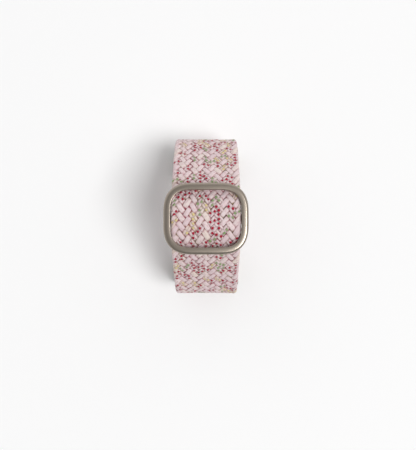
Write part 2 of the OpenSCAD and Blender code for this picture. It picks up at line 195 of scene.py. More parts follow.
# The braid's path, made of straight stretches and bends in the YZ plane.
STRAP_W, STRAP_T, END_T = 23.8, 2.2, 1.6
BUCKLE_Y, BAR_Y, BAR_Z = -1.35, 26.0, 3.6
CREST_FLAT, CREST_Z, SHOULDER_R = 3.0, 47.48, 9.0
SLOPE_R, SIDE_R, SIDE_Z, TURN_R, RUN_GAP = 90.0, 15.0, 19.0, 2.05, 0.3
LOOP_L = 61.7
LUG_FLAP_L, BUCKLE_FLAP_L, SEAL_L = 8.0, 2.4, 1.0
TAIL_L, SLACK_L = 3.0, 6.0
CLOSE_R, DIP_R, END_R = 2.5, 4.0, 1.85
FLAP_Y, SEWN_GAP = 5.0, 0.05
SHOULDER_Z = CREST_Z - SHOULDER_R - STRAP_T / 2
CENTRE_BAR_Z = CREST_Z - STRAP_T - RUN_GAP / 2 - END_R - END_T / 2
# Bends whose circles touch have no straight stretch between them. Shorter stretches than the
# shortest are left out, and a straight one takes the faintest bend.
TOUCHING, SHORTEST, FAINTEST = 0.9999, 1e-6, 1e-9


def meeting(p, reach_p, q, reach_q):
    """Point at given distances from two others, on the right of the way from one to the other."""
    gap_shade = math.dist(p, q)
    along = ((q[0] - p[0]) / gap_shade, (q[1] - p[1]) / gap_shade)
    foot = (gap_shade * gap_shade + reach_p ** 2 - reach_q ** 2) / (2 * gap_shade)
    off = math.sqrt(reach_p ** 2 - foot ** 2)
    return (p[0] + foot * along[0] + off * along[1], p[1] + foot * along[1] - off * along[0])


def left_of(h):
    """Step of one to the left of a heading."""
    return np.array([-math.sin(h), math.cos(h)])


def ahead(h):
    """Step of one along a heading."""
    return np.array([math.cos(h), math.sin(h)])


def heading_between(a, b):
    """Heading of the way from one bend [y, z, signed radius] to the next."""
    lean = (b[2] - a[2]) / math.dist(a[:2], b[:2])
    base = math.atan2(b[1] - a[1], b[0] - a[0])
    return base - (math.copysign(math.pi / 2, lean) if abs(lean) > TOUCHING else math.asin(lean))


def belt():
    """First heading and the bends {name: (y, z, signed radius)} of the whole length of braid, from
    its sewn end at connector b, over the buckle, round connector a and back inside to the
    buckle's centre bar."""
    side_y = LOOP_L / 2 - STRAP_T / 2 - SIDE_R
    hills = {}
    for side, sign in (("a", 1), ("b", -1)):
        shoulder = (sign * BUCKLE_Y + CREST_FLAT, SHOULDER_Z)
        y, z = meeting(shoulder, SLOPE_R - SHOULDER_R, (side_y, SIDE_Z), SLOPE_R - SIDE_R)
        hills[side] = (sign * y, z)
    inner = STRAP_T + RUN_GAP
    end_z = CENTRE_BAR_Z - END_R
    dip_z = end_z - DIP_R
    reach = math.sqrt((SLOPE_R - inner - DIP_R) ** 2 - (dip_z - hills["a"][1]) ** 2)
    drop = heading_between((side_y, SIDE_Z, -SIDE_R), (BAR_Y, BAR_Z, -TURN_R))
    up = drop + math.pi
    bar_side = np.array([BAR_Y, BAR_Z]) + TURN_R * left_of(drop)
    close = bar_side + (TURN_R + CLOSE_R + STRAP_T) * ahead(up) \
        + (STRAP_T + SEWN_GAP + CLOSE_R) * left_of(up)
    return -up, {
        "lug_flap": (-close[0], close[1], CLOSE_R),
        "bar_b": (-BAR_Y, BAR_Z, -TURN_R),
        "side_b": (-side_y, SIDE_Z, -SIDE_R),
        "slope_b": (*hills["b"], -SLOPE_R),
        "shoulder_b": (BUCKLE_Y - CREST_FLAT, SHOULDER_Z, -SHOULDER_R),
        "shoulder_a": (BUCKLE_Y + CREST_FLAT, SHOULDER_Z, -SHOULDER_R),
        "slope_a": (*hills["a"], -SLOPE_R),
        "side_a": (side_y, SIDE_Z, -SIDE_R),
        "bar_a": (BAR_Y, BAR_Z, -TURN_R),
        "inner_side": (side_y, SIDE_Z, SIDE_R - inner),
        "inner_slope": (*hills["a"], SLOPE_R - inner),
        "dip": (hills["a"][0] + reach, dip_z, DIP_R),
        "centre_bar": (BUCKLE_Y, CENTRE_BAR_Z, -END_R),
        "buckle_flap": (BUCKLE_Y + FLAP_Y, end_z + END_T + SEWN_GAP + CLOSE_R, CLOSE_R)}


class Path:
    """The braid's middle line in the YZ plane, by its length."""

    def __init__(self):
        """Lays out the stretches and keeps where each bend starts and ends."""
        heading, bends = belt()
        middles = list(bends.values())
        headings = [heading] + [heading_between(a, b) for a, b in zip(middles, middles[1:])] + [0.0]
        self.rows, self.starts, self.ends = [], {}, {}
        s = 0.0
        first = np.array(middles[0][:2]) - middles[0][2] * left_of(heading)
        point = first - LUG_FLAP_L * ahead(heading)
        for (name, (y, z, r)), h0, h1 in zip(bends.items(), headings, headings[1:]):
            enter = np.array([y, z]) - r * left_of(h0)
            s = self.stretch(s, point, h0, 0.0, math.dist(point, enter))
            turn = (h1 - h0) % (2 * math.pi) if r > 0 else -((h0 - h1) % (2 * math.pi))
            self.starts[name] = s
            s = self.stretch(s, enter, h0, 1 / r, turn * r)
            self.ends[name] = s
            point = np.array([y, z]) - r * left_of(h1)
        self.length = self.stretch(s, point, 0.0, 0.0, BUCKLE_FLAP_L)

    def stretch(self, s, start, heading, bend, length):
        """Keeps a stretch that starts at length s, and gives where it ends."""
        if length > SHORTEST:
            self.rows.append((s, start[0], start[1], heading, bend))
        return s + length

    def at(self, s):
        """Points and headings at lengths s."""
        rows = np.array(self.rows)
        row = rows[np.clip(np.searchsorted(rows[:, 0], s, side="right") - 1, 0, len(rows) - 1)]
        along = s - row[:, 0]
        bend = np.where(row[:, 4] == 0, FAINTEST, row[:, 4])
        h = row[:, 3] + along * bend
        y = row[:, 1] + (np.sin(h) - np.sin(row[:, 3])) / bend
        z = row[:, 2] - (np.cos(h) - np.cos(row[:, 3])) / bend
        return y, z, h


path = Path()
TURNED_B = path.ends["bar_b"]
S_WINDOW_B = path.starts["shoulder_b"] - TAIL_L
S_WINDOW_A = path.ends["shoulder_a"] + TAIL_L
AT_BAR_A, TURNED_A = path.starts["bar_a"], path.ends["bar_a"]
DIP_START, DIP_END = path.starts["dip"], path.ends["dip"]
FLAP_START = path.ends["buckle_flap"]

# The braid. Every strand runs from edge to edge and back, over two and under two. Places across
# the braid are counted in crossings, from 0 at the left edge to STRANDS at the right one. Float n
# lies between crossings 2n - 1.5 and 2n + 0.5, and its middle is at 2n - 0.5.
STRANDS = 23
BRAID_SPAN = 24.5
CROSSING = BRAID_SPAN / STRANDS
PITCH = 3.05
ADVANCE = PITCH / 2
FLOAT_L = math.hypot(CROSSING, ADVANCE)
LAST_FLOAT = (STRANDS - 1) / 2
STRAND_W, STRAND_H, LIFT = 1.9, 1.1, 0.52
# A section's corners fill out from an ellipse at 1 towards a box at 0.
SQUARENESS = 0.7
# Floats dive between the others more steeply than a sine would, and are narrower where they do.
DIVE, NARROW = 2.6, 0.08
WIDTH_SPREAD, LIFT_SPREAD = 0.18, 0.26
WANDER, WANDER_TURN, WANDER_SHIFT = 0.12, 0.85, 2.4
# At the edges the strands turn round softly, and fold over in the outermost crossings.
EDGE_SOFT, EDGE_FLOAT, FOLD_SPAN, FOLD_AT = 1.8, 1.5, 1.4, 0.62
# The braid eases to its pressed end over this length.
PRESSED_OVER = 3.0
STEP, SIDES, NUDGE = 0.32, 14, 0.05
TURNS = np.linspace(0, 2 * math.pi, SIDES, endpoint=False)
SECTION_X, SECTION_Z = (np.sign(v) * np.abs(v) ** SQUARENESS for v in (np.cos(TURNS), np.sin(TURNS)))
# The map along a strand starts at another place on each, and its girth is nearly the real one.
MAP_SHIFT, GIRTH = 17.3, (STRAND_W + STRAND_H) * 1.6
# A place on the map beyond every float.
BEYOND = 9.0
SEED, HASH_WEIGHTS, HASH_SCALE = 7, (12.9898, 78.233, 37.719), 43758.5453


def chance(*keys):
    """Repeatable number from 0 to 1 for each float of the braid."""
    mixed = sum(key * weight for key, weight in zip(keys, HASH_WEIGHTS))
    return np.modf(np.abs(np.sin(mixed) * HASH_SCALE))[0]


def strand_state(s, k):
    """State of strand k at lengths s: its crossing and whether it is on its way back, its float
    and that float's tint, its lift and facing, its side, its place across, and its share of the
    fold at the edge."""
    trip = (s / ADVANCE + 2 * k) / (2 * STRANDS)
    back = trip % 1 > 0.5
    tau = trip % 1 * 2 * STRANDS
    crossing = np.where(back, 2 * STRANDS - tau, tau)
    # The outermost floats fold over the braid's edges and run on below.
    float_at = np.clip(np.floor((crossing + 1.5) / 2), 1, LAST_FLOAT)
    tint = chance(float_at, k + SEED, np.floor(trip) + ((float_at == 1) & back))
    way = np.where(back, -1.0, 1.0)
    edge = np.minimum(crossing, STRANDS - crossing)
    wave = np.tanh(DIVE * np.sin(math.pi / 2 * (crossing - 0.5))) / math.tanh(DIVE)
    near = np.sin(math.pi / 2 * np.minimum(edge / EDGE_FLOAT, 1))
    lift = way * np.where(edge < EDGE_FLOAT, near, wave) * (1 + LIFT_SPREAD * (tint - 0.5))
    inside = edge * CROSSING
    soft = np.where(inside < EDGE_SOFT, (inside ** 2 + EDGE_SOFT ** 2) / (2 * EDGE_SOFT), inside)
    side = np.where(crossing < STRANDS / 2, -1.0, 1.0)
    wander = WANDER * np.sin(s * WANDER_TURN + WANDER_SHIFT * k) * near ** 2
    return SimpleNamespace(crossing=crossing, back=back, float_at=float_at, tint=tint, lift=lift,
                           facing=way * near, side=side, x=side * (BRAID_SPAN / 2 - soft) + wander,
                           fold=np.clip(FOLD_SPAN - edge, 0, 1))


def thickness(s):
    """Share of the braid's full thickness: its buckle end is pressed flat."""
    ease = np.clip((s - DIP_END + PRESSED_OVER / 2) / PRESSED_OVER, 0, 1)
    return 1 - (1 - END_T / STRAP_T) * ease * ease * (3 - 2 * ease)


def strand_middle(s, k):
    """Middle line of strand k at lengths s."""
    y, z, h = path.at(s)
    state = strand_state(s, k)
    rise = state.lift * LIFT * thickness(s)
    return np.stack([state.x, y - np.sin(h) * rise, z + np.cos(h) * rise], 1)


def unit(vectors):
    """Vectors at a length of one."""
    return vectors / np.linalg.norm(vectors, axis=1)[:, None]


def corner_map(first, second, around):
    """Map coordinates of the corners of every face of a strand, in millimetres."""
    shape = (len(first), len(around) - 1)
    u0, u1 = (np.broadcast_to(u[:, None], shape) for u in (first, second))
    v0, v1 = (np.broadcast_to(v[None, :], shape) for v in (around[:-1], around[1:]))
    corners = [np.stack(corner, -1) for corner in ((u0, v0), (u0, v1), (u1, v1), (u1, v0))]
    return np.stack(corners, 2).reshape(-1, 2)


def strand_skin(s, k, state):
    """Corners of the cross-sections of strand k, a row of them at each length s."""
    h = path.at(s)[2]
    level = np.zeros_like(h)
    normal = np.stack([level, -np.sin(h), np.cos(h)], 1)
    outward = np.stack([state.side, level, level], 1)
    turned = np.sqrt(np.maximum(0, 1 - state.facing ** 2))
    tangent = unit(strand_middle(s + NUDGE, k) - strand_middle(s - NUDGE, k))
    up = normal * state.facing[:, None] + outward * turned[:, None]
    up = unit(up - tangent * np.sum(up * tangent, 1)[:, None])
    wide = np.cross(up, tangent)
    at_middle = np.abs(np.sin(math.pi / 2 * (state.crossing - 0.5)))
    spread = (1 + WIDTH_SPREAD * (state.tint - 0.5)) * (1 - NARROW * (1 - at_middle))
    half_w = STRAND_W / 2 * spread
    half_h = STRAND_H / 2 * thickness(s)
    return strand_middle(s, k)[:, None, :] \
        + wide[:, None, :] * (half_w[:, None] * SECTION_X)[:, :, None] \
        + up[:, None, :] * (half_h[:, None] * SECTION_Z)[:, :, None]


def strand_maps(s, k, state):
    """The two maps of strand k: one runs on along it, and the other counts from the middle of each
    float and stops where an outermost float folds over."""
    run = (s - s[0]) * FLOAT_L / ADVANCE + k * MAP_SHIFT
    place = (state.crossing - (2 * state.float_at - 0.5))[:-1]
    onward = place + np.where(state.back, -1, 1)[:-1] * np.diff(s) / ADVANCE
    low = np.where(state.float_at == 1, -FOLD_AT, -BEYOND)[:-1]
    high = np.where(state.float_at == LAST_FLOAT, FOLD_AT, BEYOND)[:-1]
    return corner_map(run[:-1], run[1:], np.arange(SIDES + 1) * GIRTH / SIDES), \
        corner_map(np.clip(place, low, high) * FLOAT_L, np.clip(onward, low, high) * FLOAT_L,
                   STRAND_W / 2 * np.append(SECTION_X, SECTION_X[0]))


def braid(name, s0, s1):
    """Strands of the braid between two lengths of its path, as one mesh of capped tubes."""
    count = max(2, int(round((s1 - s0) / STEP)) + 1)
    s = np.linspace(s0, s1, count)
    j = np.arange(SIDES)[None, :]
    j1 = (j + 1) % SIDES
    verts, faces, caps, maps, tints, folds = [], [], [], [], [], []
    for k in range(STRANDS):
        state = strand_state(s, k)
        verts.append(strand_skin(s, k, state).reshape(-1, 3))
        first = k * count * SIDES
        last = first + (count - 1) * SIDES
        i = np.arange(first, last, SIDES)[:, None]
        faces.append(np.stack([i + j, i + j1, i + SIDES + j1, i + SIDES + j], 2).reshape(-1, 4))
        caps.append(list(range(first, first + SIDES))[::-1])
        caps.append(list(range(last, last + SIDES)))
        maps.append(strand_maps(s, k, state))
        tints.append(np.repeat(state.tint[:-1], SIDES))
        folds.append(np.repeat(state.fold[:-1], SIDES))
    mesh = bpy.data.meshes.new(name)
    mesh.from_pydata((np.concatenate(verts) * MM).tolist(), [],
                     np.concatenate(faces).tolist() + caps)
    for label, places in zip(("strand", "float"), zip(*maps)):
        layer = mesh.uv_layers.new(name=label)
        on_sides = np.concatenate(places)
        on_caps = np.full((len(layer.data) - len(on_sides), 2), BEYOND)
        layer.data.foreach_set("uv", np.concatenate([on_sides, on_caps]).ravel())
    for label, values in (("tint", tints), ("fold", folds)):
        attribute = mesh.attributes.new(label, "FLOAT", "FACE")
        flat = np.concatenate(values + [np.zeros(len(caps))])
        attribute.data.foreach_set("value", flat.astype(np.float32))
    piece = place_new(name, mesh)
    finish(piece, nylon, SOFT_PIECE)
    return piece


# Flat braid of soft elastic nylon yarn: pale pink floats with fine lengthwise filaments, painted
# shade in the gaps between them, reddish and golden brown, and single crimson, green and yellow
# filaments that surface as dots. Places on a float are along its strand and across it, in
# millimetres from its middle.
CRIMSON_SHARE, GREEN_SHARE, YELLOW_SHARE, DOTTED_SHARE = 0.31, 0.15, 0.09, 0.48
MOTTLES_PER_MM, FILAMENTS_PER_MM = (0.9, 3.2, 1), (0.5, 5.5, 1)
# Painted shade in the gaps between floats: where it starts and is full, its depth, and the sizes of
# its patches.
GAP_SIDE, GAP_SIDE_FULL, GAP_END, GAP_END_FULL = 0.72, 0.92, 1.17, 1.67
SIDE_GAP, END_GAP, LEAST_GAP_SHADE, FOLD_CLOSED = 0.75, 1.0, 0.45, 0.85
GAP_SHADE_SIZE, CORE_SIZE = 2.4, 3.1
TUFT_L, TUFT_W, RAGGEDNESS, DOT_R, DOT_BLUR = 1.25, 0.85, 0.4, 0.43, 0.06
SEAM_HALF, SEAM_CLEAR_L, SEAM_CLEAR_W, SEAM_SHARE = 0.02, 0.14, 0.12, 0.55
TUFT_ROUND, TUFT_DEPTH, DOT_RISE, FILAMENT_DEPTH = 0.3, 0.16, 0.5, 0.14
# Keys that turn a float's tint and a tuft's place on it into other numbers.
DOT_KEY, COLOUR_KEY, FORE_KEY, RIGHT_KEY = 53.0, 61.0, 0.4, 0.5

nylon, shader = material("braided_nylon_yarn")
strand_map = add(nylon, "UVMap", uv_map="strand")
float_map = add(nylon, "UVMap", uv_map="float")
tint = add(nylon, "Attribute", attribute_name="tint").outputs["Fac"]
fold = add(nylon, "Attribute", attribute_name="fold").outputs["Fac"]
on_float = add(nylon, "SeparateXYZ", {"Vector": float_map})
along, over = on_float.outputs["X"], on_float.outputs["Y"]

# Each float has one of a few near shades of pink, mottled lengthwise.
yarns = add(nylon, "ValToRGB", {"Fac": tint})
yarns.color_ramp.elements[0].color = linear("e6d6d6")
yarns.color_ramp.elements[1].color = linear("e6d7cc")
for at, shade in ((0.25, "e1cdd0"), (0.5, "ead9d8"), (0.72, "dcc7cb"), (0.9, "e6d8d2")):
    yarns.color_ramp.elements.new(at).color = linear(shade)
lengthwise = add(nylon, "Mapping", {"Vector": strand_map, "Scale": MOTTLES_PER_MM})
mottle = add(nylon, "TexNoise", {"Vector": lengthwise, "Scale": 1.0, "Detail": 3.0},
             noise_dimensions="2D")
darker = add(nylon, "MapRange", {"Value": mottle, "From Min": 0.42, "From Max": 0.76},
             interpolation_type="SMOOTHSTEP")
yarn = add(nylon, "Mix", {"Factor": darker, MIX_A: yarns, MIX_B: linear("d4b6b9")},
           data_type="RGBA").outputs[MIXED]

# Painted shade darkens the gaps at the sides and ends of the floats, and is left out where the
# strands fold over.
off_middle = add(nylon, "Math", {0: over}, operation="ABSOLUTE")
from_middle = add(nylon, "Math", {0: along}, operation="ABSOLUTE")
at_side = add(nylon, "MapRange", {"Value": off_middle, "From Min": GAP_SIDE,
                                  "From Max": GAP_SIDE_FULL}, interpolation_type="SMOOTHSTEP")
at_end = add(nylon, "MapRange", {"Value": from_middle, "From Min": GAP_END,
                                 "From Max": GAP_END_FULL}, interpolation_type="SMOOTHSTEP")
side_gap = add(nylon, "Math", {0: at_side, 1: SIDE_GAP}, operation="MULTIPLY")
gap_shade = add(nylon, "Math", {0: at_end, 1: END_GAP, 2: side_gap}, operation="MULTIPLY_ADD",
          use_clamp=True)
flat_share = add(nylon, "Math", {0: fold, 1: -FOLD_CLOSED, 2: 1.0}, operation="MULTIPLY_ADD")
# The painted shade in the gaps is deeper in some patches than in others.
place = add(nylon, "TexCoord").outputs["Object"]
gap_shade_noise = add(nylon, "TexNoise", {"Vector": place, "Scale": 1 / (GAP_SHADE_SIZE * MM), "Detail": 1.0})
depth = add(nylon, "MapRange", {"Value": gap_shade_noise, "From Min": 0.35, "From Max": 0.65,
                                "To Min": LEAST_GAP_SHADE}, interpolation_type="SMOOTHSTEP")
gap_shade = add(nylon, "Math", {0: gap_shade, 1: depth}, operation="MULTIPLY")
gap_shade = add(nylon, "Math", {0: gap_shade, 1: flat_share}, operation="MULTIPLY")
# The painted shade takes the colour of the darker yarn beneath: reddish, and golden brown in some
# places.
cores = add(nylon, "TexNoise", {"Vector": place, "W": 3.0, "Scale": 1 / (CORE_SIZE * MM),
                                "Detail": 0.0}, noise_dimensions="4D")
golden = add(nylon, "MapRange", {"Value": cores, "From Min": 0.52, "From Max": 0.64},
             interpolation_type="SMOOTHSTEP")
shaded_core = add(nylon, "Mix", {"Factor": golden, MIX_A: linear("963447"), MIX_B: linear("8a6a48")},
           data_type="RGBA").outputs[MIXED]
yarn = add(nylon, "Mix", {"Factor": gap_shade, MIX_A: yarn, MIX_B: shaded_core},
           data_type="RGBA").outputs[MIXED]


# The floats of the tweed yarn are tufted in two rows of two. A coloured filament shows as a dot
# in some of the tufts, chosen by the tint of the float.
def from_tint(key, shift):
    """Another repeatable number from 0 to 1 for each float."""
    number = add(nylon, "Math", {0: tint, 1: key, 2: shift}, operation="MULTIPLY_ADD")
    return add(nylon, "Math", {0: number}, operation="FRACT")


ragged = add(nylon, "Math", {0: mottle, 1: RAGGEDNESS, 2: -RAGGEDNESS / 2},
             operation="MULTIPLY_ADD")
along_ragged = add(nylon, "Math", {0: along, 1: ragged}, operation="ADD")
over_ragged = add(nylon, "Math", {0: over, 1: ragged}, operation="SUBTRACT")
length_at = add(nylon, "Math", {0: along_ragged}, operation="ABSOLUTE")
width_at = add(nylon, "Math", {0: over_ragged}, operation="ABSOLUTE")
fore = add(nylon, "Math", {0: along, 1: 0.0}, operation="GREATER_THAN")
right = add(nylon, "Math", {0: over, 1: 0.0}, operation="GREATER_THAN")
fore_number = add(nylon, "Math", {0: fore, 1: FORE_KEY}, operation="MULTIPLY")
tuft_number = add(nylon, "Math", {0: right, 1: RIGHT_KEY, 2: fore_number},
                  operation="MULTIPLY_ADD")
in_quarter = add(nylon, "CombineXYZ", {"X": length_at, "Y": width_at})
from_tuft = add(nylon, "VectorMath", {0: in_quarter, 1: (TUFT_L / 2, TUFT_W / 2, 0)},
                operation="DISTANCE").outputs["Value"]
round_dot = add(nylon, "MapRange", {"Value": from_tuft, "From Min": DOT_R - DOT_BLUR,
                                    "From Max": DOT_R + DOT_BLUR, "To Min": 1.0, "To Max": 0.0},
                interpolation_type="SMOOTHSTEP")
dotted = add(nylon, "Math", {0: from_tint(DOT_KEY, tuft_number), 1: DOTTED_SHARE},
             operation="LESS_THAN")
colour_number = from_tint(COLOUR_KEY, 0.0)
tweed = add(nylon, "Math", {0: colour_number, 1: CRIMSON_SHARE + GREEN_SHARE + YELLOW_SHARE},
            operation="LESS_THAN")
dot = add(nylon, "Math", {0: round_dot, 1: dotted}, operation="MULTIPLY")
dot = add(nylon, "Math", {0: dot, 1: tweed}, operation="MULTIPLY")

# Green and yellow yarns also lend their floats a faint cast, given by the ramp's alpha.
hue = add(nylon, "ValToRGB", {"Fac": colour_number})
hue.color_ramp.interpolation = "CONSTANT"
hue.color_ramp.elements.new(CRIMSON_SHARE)
hue.color_ramp.elements[2].position = CRIMSON_SHARE + GREEN_SHARE
for stop, colour, cast in zip(hue.color_ramp.elements, ("a8042d", "8ca06e", "dcc88e"),
                              (0.0, 0.08, 0.2)):
    stop.color = linear(colour)
    stop.alpha = cast
lent = add(nylon, "Math", {0: hue.outputs["Alpha"], 1: tweed}, operation="MULTIPLY")
yarn = add(nylon, "Mix", {"Factor": lent, MIX_A: yarn, MIX_B: hue},
           data_type="RGBA").outputs[MIXED]

# Darker seams part the tufts.
clear_l = add(nylon, "MapRange", {"Value": length_at, "From Min": SEAM_HALF,
                                  "From Max": SEAM_CLEAR_L}, interpolation_type="SMOOTHSTEP")
clear_w = add(nylon, "MapRange", {"Value": width_at, "From Min": SEAM_HALF,
                                  "From Max": SEAM_CLEAR_W}, interpolation_type="SMOOTHSTEP")
clear = add(nylon, "Math", {0: clear_l, 1: clear_w}, operation="MULTIPLY")
seam = add(nylon, "Math", {0: clear, 1: -SEAM_SHARE, 2: SEAM_SHARE}, operation="MULTIPLY_ADD")
seam = add(nylon, "Math", {0: seam, 1: tweed}, operation="MULTIPLY")
yarn = add(nylon, "Mix", {"Factor": seam, MIX_A: yarn, MIX_B: linear("8c6862")},
           data_type="RGBA").outputs[MIXED]
yarn = add(nylon, "Mix", {"Factor": dot, MIX_A: yarn, MIX_B: hue},
           data_type="RGBA").outputs[MIXED]

# Filaments of 0.05 mm are drawn at 0.18 mm, so that they show.
stretched = add(nylon, "Mapping", {"Vector": strand_map, "Scale": FILAMENTS_PER_MM})
filaments = add(nylon, "TexNoise", {"Vector": stretched, "Scale": 1.0, "Detail": 3.0},
                noise_dimensions="2D")
threads = add(nylon, "Bump", {"Height": filaments, "Strength": 0.7,
                              "Distance": FILAMENT_DEPTH * MM})
# The seams between the tufts lie deeper than the yarn, and the coloured dots stand out of it.
round_l = add(nylon, "MapRange", {"Value": length_at, "From Max": TUFT_ROUND},
              interpolation_type="SMOOTHSTEP")
round_w = add(nylon, "MapRange", {"Value": width_at, "From Max": TUFT_ROUND},
              interpolation_type="SMOOTHSTEP")
puffed = add(nylon, "Math", {0: round_l, 1: round_w}, operation="MULTIPLY")
plain = add(nylon, "Math", {0: 1.0, 1: tweed}, operation="SUBTRACT")
surface = add(nylon, "Math", {0: puffed, 1: plain}, operation="MAXIMUM")
surface = add(nylon, "Math", {0: dot, 1: DOT_RISE, 2: surface}, operation="MULTIPLY_ADD")
relief = add(nylon, "Bump", {"Height": surface, "Normal": threads, "Strength": 1.0,
                             "Distance": TUFT_DEPTH * MM})
feed(nylon, shader, {"Base Color": yarn, "Roughness": 0.82, "Sheen Weight": 0.15,
                     "Sheen Roughness": 0.4, "Normal": relief})

# The braid in its seven pieces. It runs a little way into the melted lips that close its ends.
IN_LIP = 0.4
LIP_START, LIP_END = SEAL_L, path.length - SEAL_L


window = braid("braid_window", S_WINDOW_B, S_WINDOW_A)
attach(window, "buckle")
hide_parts("strap_window")

side_a = braid("braid_side_a", S_WINDOW_A, AT_BAR_A)
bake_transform(side_a)
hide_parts("strap_slack_a", "strap_side_a")

side_b = braid("braid_side_b", TURNED_B, S_WINDOW_B)
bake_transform(side_b)
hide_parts("strap_slack_b", "strap_side_b")

turn_a = braid("braid_turn_a", AT_BAR_A, TURNED_A)
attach(turn_a, "strap")
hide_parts("strap_turn_a")

turn_b = braid("braid_turn_b", LIP_START - IN_LIP, TURNED_B)
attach(turn_b, "strap")
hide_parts("strap_turn_b", "strap_lug_flap")

inner = braid("braid_inner_run", TURNED_A, DIP_END)
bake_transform(inner)
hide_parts("strap_inner_run", "strap_inner_slack")

end = braid("braid_buckle_end", DIP_END, LIP_END + IN_LIP)
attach(end, "buckle")
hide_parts("strap_buckle_end")

# Melted lips.
LIP_VOXEL, LIP_ROUND = 0.16, 0.35
LUMP_SIZE, LUMP_DEPTH, LUMP_LEVEL = 1.4, 0.2, 0.7
CLOUD_SIZE = 1.1

# Cut end of a nylon braid, melted to one lip: a darker, glossier and slightly lumpy skin.
melted, shader = material("heat_sealed_nylon")
place = add(melted, "TexCoord").outputs["Object"]
clouds = add(melted, "TexNoise", {"Vector": place, "Scale": 1 / (CLOUD_SIZE * MM), "Detail": 3.0})
skin = add(melted, "ValToRGB", {"Fac": clouds})
for stop, at, shade in zip(skin.color_ramp.elements, (0.35, 0.65), ("9c7a78", "cbb0ae")):
    stop.position = at
    stop.color = linear(shade)
feed(melted, shader, {"Base Color": skin, "Roughness": 0.42})


def melted_lip(name, s, t, body, node):
    """Lip of melted yarn round the middle of a cut end, with soft edges and lumps."""
    y, z, h = (float(v[0]) for v in path.at(np.array([s])))
    lip = block(name, (-STRAP_W / 2, -SEAL_L / 2, -t / 2), (STRAP_W / 2, SEAL_L / 2, t / 2))
    edit(lip)
    bpy.ops.mesh.select_all(action="SELECT")
    soften(LIP_ROUND, 3)
    leave()
    grid = lip.modifiers.new("grid", "REMESH")
    grid.mode = "VOXEL"
    grid.voxel_size = LIP_VOXEL * MM
    bpy.ops.object.modifier_apply(modifier="grid")
    clouds = bpy.data.textures.new("melted_lumps", "CLOUDS")
    clouds.noise_scale = LUMP_SIZE * MM
    lumps = lip.modifiers.new("lumps", "DISPLACE")
    lumps.texture = clouds
    lumps.texture_coords = "LOCAL"
    lumps.strength = LUMP_DEPTH * MM
    lumps.mid_level = LUMP_LEVEL
    bpy.ops.object.modifier_apply(modifier="lumps")
    lip.rotation_euler = (h, 0, 0)
    lip.location = (0, y * MM, z * MM)
    settle()
    finish(lip, melted, SOFT_PIECE)
    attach(lip, body)
    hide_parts(node)


melted_lip("melted_lip_lug", SEAL_L / 2, STRAP_T, "strap", "lug_end_seal")
melted_lip("melted_lip_buckle", path.length - SEAL_L / 2, END_T, "buckle", "buckle_end_seal")

# Stitches.
STITCH_R, STITCH_L, STITCH_PITCH, STITCH_COUNT = 0.3, 1.7, 2.3, 9
ROW_PITCH, LUG_ROWS, BUCKLE_ROWS = 1.2, 4, 2
THREAD_DIP, THREAD_BENDS = 0.12, (0.5, 0.75)
PLY_UNIT, PLY_DEPTH = 1.6, 0.05

# Bonded polyester sewing thread: smooth, a little glossy, a shade darker than the braid. Its twist
# of about 0.5 mm is drawn every millimetre, which a wave's unit of 1.6 mm gives.
thread, shader = material("bonded_sewing_thread")
place = add(thread, "TexCoord").outputs["Object"]
plies = add(thread, "TexWave", {"Vector": place, "Scale": 1 / (PLY_UNIT * MM)},
            wave_type="BANDS", bands_direction="DIAGONAL")
bump = add(thread, "Bump", {"Height": plies, "Strength": 0.5, "Distance": PLY_DEPTH * MM})
feed(thread, shader, {"Base Color": linear("b08a8e"), "Roughness": 0.5, "Normal": bump})


def stitch_rows(name, places, t, under, body, node):
    """Rows of stitches across the braid at lengths of its path. Each one dives in at its ends."""
    stitch = primitive(bpy.ops.mesh.primitive_uv_sphere_add, name, (0, 0, 0), segments=12,
                       ring_count=10, turn=(0, math.pi / 2, 0), radius=MM)
    stitch.scale = (STITCH_L / 2, STITCH_R, STITCH_R)
    settle()
    edit(stitch)
    for share in THREAD_BENDS:
        pick(stitch, "FACE", lambda ps: min(abs(p.x) for p in ps) > share * STITCH_L / 2)
        bpy.ops.transform.translate(value=(0, 0, -THREAD_DIP * MM))
    leave()
    finish(stitch, thread, SOFT_PIECE)
    copies = [stitch]
    for s in places:
        y, z, h = (float(v[0]) for v in path.at(np.array([s])))
        lean = h + (math.pi if under else 0)
        up = np.array([0, -math.sin(lean), math.cos(lean)])
        for i in range(STITCH_COUNT):
            copy = stitch.copy()
            copy.data = stitch.data.copy()
            bpy.context.scene.collection.objects.link(copy)
            x = (i - (STITCH_COUNT - 1) / 2) * STITCH_PITCH
            copy.location = Vector((x, y, z) + up * t / 2) * MM
            copy.rotation_euler = (lean, 0, 0)
            copies.append(copy)
    bpy.data.objects.remove(stitch, do_unlink=True)
    only(copies[1])
    for copy in copies[1:]:
        copy.select_set(True)
    settle()
    bpy.ops.object.join()
    rows = bpy.context.object
    rows.name = name
    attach(rows, body)
    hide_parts(node)


stitch_rows("stitches_lug", [LUG_FLAP_L - STITCH_R - i * ROW_PITCH for i in range(LUG_ROWS)],
            STRAP_T, False, "strap", "lug_end_stitches")
stitch_rows("stitches_buckle", [FLAP_START + STITCH_R + i * ROW_PITCH for i in range(BUCKLE_ROWS)],
            END_T, True, "buckle", "buckle_end_stitches")

# Buckle.
RIM_X, RIM_Y, RIM_Z, RIM_H, RIM_W = 14.5, 12.2, 45.2, 2.8, 2.4
RIM_TOP = RIM_Z + RIM_H
WINDOW_X, WINDOW_Y = RIM_X - RIM_W, RIM_Y - RIM_W
CORNER_SPAN, CORNER_FULLNESS, CORNER_STEPS = 10.5, 0.59, 24
OUTER_ROUND, INNER_ROUND, UNDER_ROUND, BOSS_ROUND = 1.0, 0.2, 0.5, 0.2
CENTRE_BAR_R, BORE_GAP, BOSS_WALL, BOSS_L, BOSS_FLAT = 1.0, 0.01, 0.9, 1.9, 0.01
RELIEF_GAP, RELIEF_X = 0.15, 12.0
RELIEF_R = SHOULDER_R + STRAP_T / 2 + RELIEF_GAP
# Corners this near to a level lie on it, and edges longer than this run from level to level.
LEVEL, LONG = 0.01, 1
